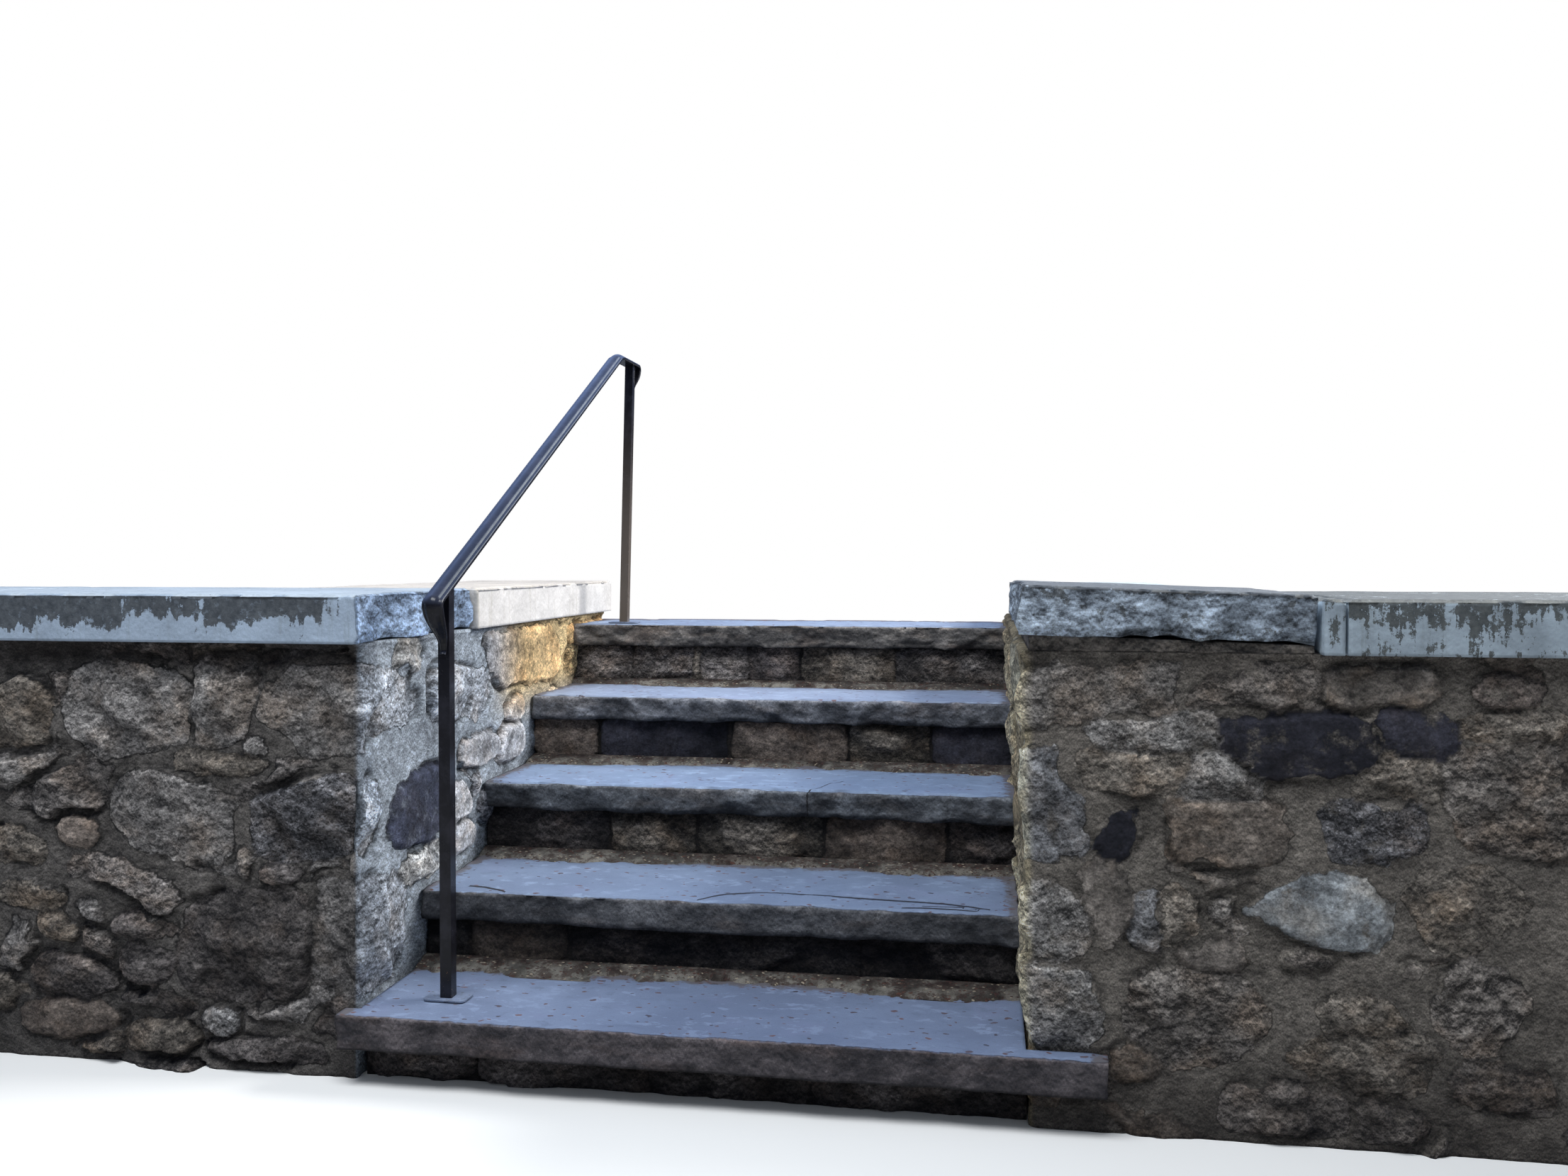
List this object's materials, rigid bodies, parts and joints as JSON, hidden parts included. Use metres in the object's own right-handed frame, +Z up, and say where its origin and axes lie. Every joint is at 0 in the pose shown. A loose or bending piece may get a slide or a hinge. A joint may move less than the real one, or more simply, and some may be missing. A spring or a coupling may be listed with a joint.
{
  "type": "outdoor stone steps",
  "caption": "Outdoor stone steps climbing between two capped fieldstone walls, with a wrought handrail on one side.",
  "frame": {"origin": "on the ground, at the middle of the footprint of the flight and its walls", "axes": "+X to the right along the treads, +Y into the bank in the direction of climbing, +Z up"},
  "size_m": [4.18, 1.66, 1.63],
  "materials": {
    "tread_stone": "blue-grey split slab, fine grain, with rough dark edges",
    "riser_stone": "rough squared stones in brown, grey and blue-black",
    "rubble": "rough rubble in mortar",
    "wall_stone": "fieldstones of several kinds in wide rough mortar",
    "mortar": "sandy weathered mortar",
    "painted_coping": "flaking pale lime paint with dark stains",
    "bare_coping": "rock-faced grey granite",
    "rail_metal": "gloss black paint, chipped, with rust at the feet",
    "patch_cement": "smooth grey cement"
  },
  "bodies": {
    "root": {"handrail": "rail_metal", "left_cheek_wall": "wall_stone", "left_coping_cheek": "painted_coping", "left_coping_corner": "painted_coping", "left_coping_outer": "painted_coping", "left_front_wall": "wall_stone", "lower_post": "rail_metal", "lower_post_patch": "patch_cement", "lower_tongue": "rail_metal", "mortar_strip_2": "mortar", "mortar_strip_3": "mortar", "mortar_strip_4": "mortar", "mortar_strip_5": "mortar", "right_cheek_wall": "wall_stone", "right_coping_bed": "mortar", "right_coping_cheek": "painted_coping", "right_coping_corner": "bare_coping", "right_coping_filler": "painted_coping", "right_coping_long": "painted_coping", "right_front_wall": "wall_stone", "riser_1": "riser_stone", "riser_2": "riser_stone", "riser_3": "riser_stone", "riser_4": "riser_stone", "riser_5": "riser_stone", "rubble_core_1": "rubble", "rubble_core_2": "rubble", "rubble_core_3": "rubble", "rubble_core_4": "rubble", "rubble_core_5": "rubble", "tread_1": "tread_stone", "tread_2": "tread_stone", "tread_3": "tread_stone", "tread_4": "tread_stone", "tread_5": "tread_stone", "upper_post": "rail_metal", "upper_post_patch": "patch_cement", "upper_tongue": "rail_metal"}
  },
  "joints": []
}
